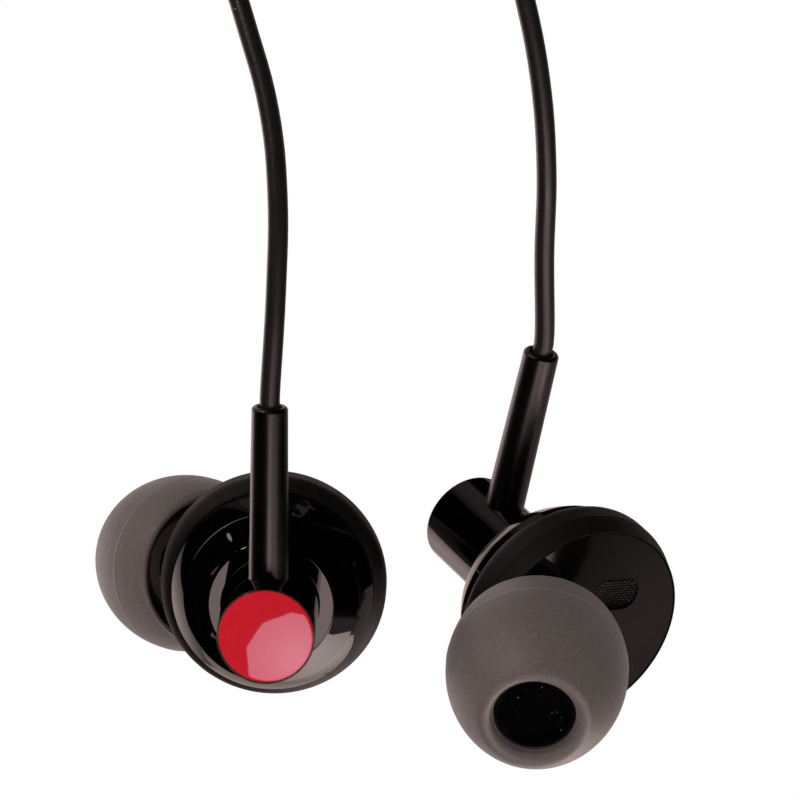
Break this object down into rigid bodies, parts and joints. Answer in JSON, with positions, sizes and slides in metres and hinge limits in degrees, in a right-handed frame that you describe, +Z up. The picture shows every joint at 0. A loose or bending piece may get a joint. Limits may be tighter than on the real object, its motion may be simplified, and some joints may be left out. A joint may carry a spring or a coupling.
{
  "type": "wired earphones",
  "caption": "In-ear earphones with angled nozzles, soft ear tips, soft rings and straight stems on two thin leads, with a splitter, a coiled cord and a stereo plug",
  "frame": {"origin": "the top of the space inside the wound cord, where a peg or hook of up to 12 mm carries the whole set", "axes": "+X from the left earpiece to the right one, +Z up, the viewer looks along +Y at the set as it hangs"},
  "size_m": [0.0649, 0.0339, 0.1013],
  "materials": {
    "gloss_shell": "high gloss",
    "red_cap": "gloss",
    "stem_plastic": "satin",
    "matte_cover": "matte",
    "soft_ring": "matte",
    "silicone": "satin",
    "mesh": "woven",
    "cord_sheath": "satin",
    "moulded_soft": "satin",
    "frame_plastic": "matte",
    "film": "satin",
    "copper": "satin",
    "steel": "satin",
    "magnet_metal": "bright",
    "board": "satin",
    "gilt": "polished"
  },
  "bodies": {
    "headset": {"rear_shell_left": "gloss_shell", "end_cap_left": "red_cap", "stem_left": "stem_plastic", "lead_anchor_left": "cord_sheath", "front_cover_left": "matte_cover", "soft_ring_left": "soft_ring", "nozzle_mesh_left": "mesh", "vent_mesh_left": "mesh", "driver_frame_left": "frame_plastic", "diaphragm_left": "film", "sound_coil_left": "copper", "top_plate_left": "steel", "magnet_left": "magnet_metal", "yoke_left": "steel", "terminal_board_left": "board", "rear_shell_right": "gloss_shell", "end_cap_right": "red_cap", "stem_right": "stem_plastic", "lead_anchor_right": "cord_sheath", "front_cover_right": "matte_cover", "soft_ring_right": "soft_ring", "nozzle_mesh_right": "mesh", "vent_mesh_right": "mesh", "driver_frame_right": "frame_plastic", "diaphragm_right": "film", "sound_coil_right": "copper", "top_plate_right": "steel", "magnet_right": "magnet_metal", "yoke_right": "steel", "terminal_board_right": "board", "lead_left": "cord_sheath", "lead_right": "cord_sheath", "lead_coil_left": "cord_sheath", "lead_coil_right": "cord_sheath", "lead_end_left": "cord_sheath", "lead_end_right": "cord_sheath", "splitter": "moulded_soft", "main_start": "cord_sheath", "main_coil": "cord_sheath", "main_end": "cord_sheath", "plug_relief": "moulded_soft", "plug_handle": "moulded_soft", "plug_sleeve": "gilt", "plug_ring": "gilt", "plug_tip": "gilt", "plug_insulators": "frame_plastic"},
    "tip_left": {"ear_tip_left": "silicone"},
    "tip_right": {"ear_tip_right": "silicone"}
  },
  "joints": [
    {"name": "tip_left_slide", "type": "slide", "parent": "headset", "child": "tip_left", "axis": [-0.5034, 0.8562, 0.1161], "range_m": [0, 0.012]},
    {"name": "tip_right_slide", "type": "slide", "parent": "headset", "child": "tip_right", "axis": [-0.0471, -0.8663, -0.4973], "range_m": [0, 0.012]}
  ]
}
